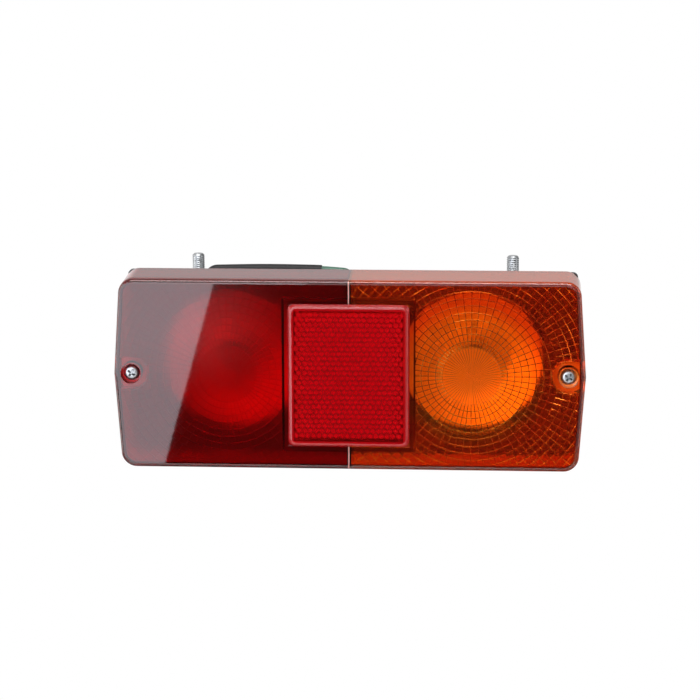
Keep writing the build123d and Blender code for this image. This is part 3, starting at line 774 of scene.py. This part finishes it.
# Pressed brass: yellow and fairly bright
brass = plain_finish("brass", "#b08a42", "#caa456", 2 * MM, 0.2, 0.35, METAL)
# Drawn tungsten: dark grey and dull
tungsten = plain_finish("tungsten_wire", "#6e6e6e", "#868686", 1 * MM, 0.3, 0.45, METAL)
# Punched phenolic paper board: brown and matt
phenolic = plain_finish("phenolic_board", "#55361c", "#6d4725", 2 * MM, 0.45, 0.6, {"IOR": 1.55})
# Extruded PVC: dark green with a soft sheen
green_pvc = plain_finish("green_pvc", "#244a39", "#305846", 2 * MM, 0.35, 0.5, {"IOR": 1.53})
# Extruded sleeving: black, and duller than the core that it covers
black_pvc = plain_finish("black_pvc_sleeving", "#141213", "#1c191a", 2 * MM, 0.45, 0.6,
                         {"IOR": 1.53, "Specular IOR Level": 0.25})


# Dressing the pieces

def dress(piece, material):
    """Give a piece or a CAD node one material."""
    if not piece.material_slots:
        piece.data.materials.append(material)
    for place in piece.material_slots:
        place.link = "OBJECT"
        place.material = material


finishes = {
    "base_housing": black, "lens_gasket": rubber,
    "indicator_bowl": bright, "stop_tail_bowl": bright,
    "indicator_holder": zinc, "stop_tail_holder": zinc, "holder_rivets": aluminium,
    "indicator_bulb_cap": brass, "stop_tail_bulb_cap": brass,
    "indicator_bulb_glass": glass, "stop_tail_bulb_glass": glass,
    "indicator_filament": tungsten, "stop_tail_filaments": tungsten,
    "indicator_contact_plate": phenolic, "stop_tail_contact_plate": phenolic,
    "indicator_contact_leaf": brass, "stop_tail_contact_leaves": brass,
    "link_lead_core": green_pvc, "link_lead_sleeving": black_pvc,
    "left_lead_grommet": rubber, "middle_lead_grommet": rubber, "entry_grommet": rubber,
}
for node, material in finishes.items():
    dress(nodes[node], material)

# The red half has shallower optics than the amber half, which show only faintly
amber_lens = make_lens(0.2 * MM, 1.9, 1.5)
amber_lens.name = "amber_lens_detailed"
shallow = make_lens(0.12 * MM, 0.62, 0.6)
red_lens = copy_of(shallow, "red_lens_detailed", Matrix.Scale(-1, 4, (1, 0, 0)))
bpy.data.objects.remove(shallow, do_unlink=True)
tile = make_tile()
screws = make_lens_screws()
studs = make_studs()
for piece, material, slot, node in (
        (amber_lens, amber, "amber_lens", "amber_lens"),
        (red_lens, red, "red_lens", "red_lens"),
        (tile, reflex, "reflex_red", "reflex_reflector"),
        (screws, steel, "zinc_steel", "lens_screws"),
        (studs, zinc, "zinc_steel", "mounting_studs")):
    dress(piece, material)
    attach(piece, "root")
    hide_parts(node)
for piece in (screws, studs):
    take(piece)
    bpy.ops.object.shade_smooth_by_angle(angle=math.radians(35))


# Stage: a pale table some way below the lamp
TABLE_Z = -0.45
rest()
bpy.ops.mesh.primitive_grid_add(x_subdivisions=4, y_subdivisions=4, size=1,
                                location=(0, -0.58, TABLE_Z), scale=(2.4, 1.0, 1))
table = named("table")
# Painted board: pale and matt
pale, tree, _ = new_material("painted_board")
shader = add_node(tree, "BsdfPrincipled", {"Base Color": colour("#e6e6e4"), "Roughness": 0.8})
add_node(tree, "OutputMaterial", {"Surface": shader})
table.data.materials.append(pale)

# Light: a pale room, white behind the lamp and with a dim gap straight in front that has a glow on
# its left, and six softboxes
world = bpy.data.worlds.new("studio")
bpy.context.scene.world = world
world.use_nodes = True
tree = world.node_tree
tree.nodes.clear()
direction = add_node(tree, "TexCoord", output="Generated")
axes = add_node(tree, "SeparateXYZ", (direction,)).node.outputs
off_gap = add_node(tree, "Math", (axes["X"], 0.04), operation="ADD")
off_gap = add_node(tree, "Math", (off_gap,), operation="ABSOLUTE")
# Each step of the room: what it follows, from where to where, and its values there
steps = {
    "overhead": (axes["Z"], 0.03, 0.2, 1.0, 0.78),
    "underneath": (axes["Z"], -0.55, -0.4, 0.2, 1.0),
    "far_right": (axes["X"], 0.12, 0.3, 1.0, 0.4),
    "beside_gap": (off_gap, 0.1, 0.26, 0.0, 1.0),
    "above_gap": (axes["Z"], -0.1, 0.06, 0.0, 1.0),
    "glow_across": (axes["X"], -0.135, -0.075, 0.62, 0.0),
    "glow_upwards": (axes["Z"], -0.235, -0.2, 0.0, 1.0),
    "backwards": (axes["Y"], -0.75, 0.5, 0.0, 1.0),
}
room = {name: add_node(tree, "MapRange", step, interpolation_type="SMOOTHSTEP")
        for name, step in steps.items()}
behind = add_node(tree, "Math", (room["overhead"], room["underneath"]), operation="MULTIPLY")
behind = add_node(tree, "Math", (behind, room["far_right"]), operation="MULTIPLY")
glow = add_node(tree, "Math", (room["glow_across"], room["glow_upwards"]), operation="MULTIPLY")
before = add_node(tree, "Math", (room["beside_gap"], room["above_gap"]), operation="MAXIMUM")
before = add_node(tree, "Math", (before, glow), operation="MAXIMUM")
before = add_node(tree, "MapRange", (before, 0.0, 1.0, 0.03, 0.75),
                  interpolation_type="SMOOTHSTEP")
strength = add_node(tree, "Mix", {"Factor": room["backwards"], "A": before, "B": behind})
sky = add_node(tree, "Background", {"Color": (1, 1, 1, 1), "Strength": strength})
add_node(tree, "OutputWorld", {"Surface": sky})


def softbox(name, place, target, size, radiance, roll=0.0, hue=(1, 1, 1)):
    """An area lamp that faces a point, of a size in metres and an even radiance."""
    lamp = bpy.data.lights.new(name, "AREA")
    lamp.shape = "RECTANGLE"
    lamp.size, lamp.size_y = size
    lamp.energy = radiance * math.pi * size[0] * size[1]
    lamp.color = hue
    holder = bpy.data.objects.new(name, lamp)
    bpy.context.scene.collection.objects.link(holder)
    aim = (Vector(target) - Vector(place)).to_track_quat("-Z", "Y")
    holder.matrix_world = (Matrix.Translation(place) @ aim.to_matrix().to_4x4()
                           @ Matrix.Rotation(roll, 4, "Z"))
    holder.visible_camera = False


FACE_CENTRE = (0, FRONT, MIDDLE)
# The key, slightly cool. Its slanted edge is the edge of the pale reflection on the red half
softbox("left_softbox", (-1.16, -1.35, 0.108), (-1.16, 0, 0.108), (2.0, 1.6), 4.2,
        math.radians(-15.7), (0.95, 0.99, 1.08))
softbox("front_softbox", (0.25, -1.9, 0.6), (0.25, 0, 0.3), (1.3, 1.2), 1.3)
softbox("right_softbox", (1.3, -0.15, 0.15), FACE_CENTRE, (0.7, 1.3), 1.8)
softbox("side_softbox", (-1.3, -0.15, 0.15), FACE_CENTRE, (0.7, 1.3), 4.0)
# Level with the lamp and facing down, so that the lit table shows in the bowls but the box doesn't
softbox("table_softbox", (0.1, -0.8, -0.03), (0.1, -0.8, TABLE_Z), (1.4, 0.4), 2.9)
softbox("top_softbox", (0, -0.6, 1.2), FACE_CENTRE, (1.6, 0.5), 8.0)

# Camera, set from the photograph's own lines
DISTANCE = 1.1066
azimuth, elevation, roll = (math.radians(angle) for angle in (3.5, 12.16, -0.15))
forward = Vector((-math.sin(azimuth) * math.cos(elevation),
                  math.cos(azimuth) * math.cos(elevation), -math.sin(elevation)))
level = Vector((math.cos(azimuth), math.sin(azimuth), 0))
upright = level.cross(forward)
right = math.cos(roll) * level + math.sin(roll) * upright
up = -math.sin(roll) * level + math.cos(roll) * upright
target = Vector((0.71 * MM, FRONT, MIDDLE + 12.42 * MM))
camera = bpy.data.cameras.new("camera")
camera.lens = 122.75
camera.sensor_width = 36
camera.clip_start = 0.01
eye = bpy.data.objects.new("camera", camera)
bpy.context.scene.collection.objects.link(eye)
turned = Matrix((right, up, -forward)).transposed().to_4x4()
eye.matrix_world = Matrix.Translation(target - forward * DISTANCE) @ turned
bpy.context.scene.camera = eye
bpy.context.scene.view_settings.view_transform = "Standard"
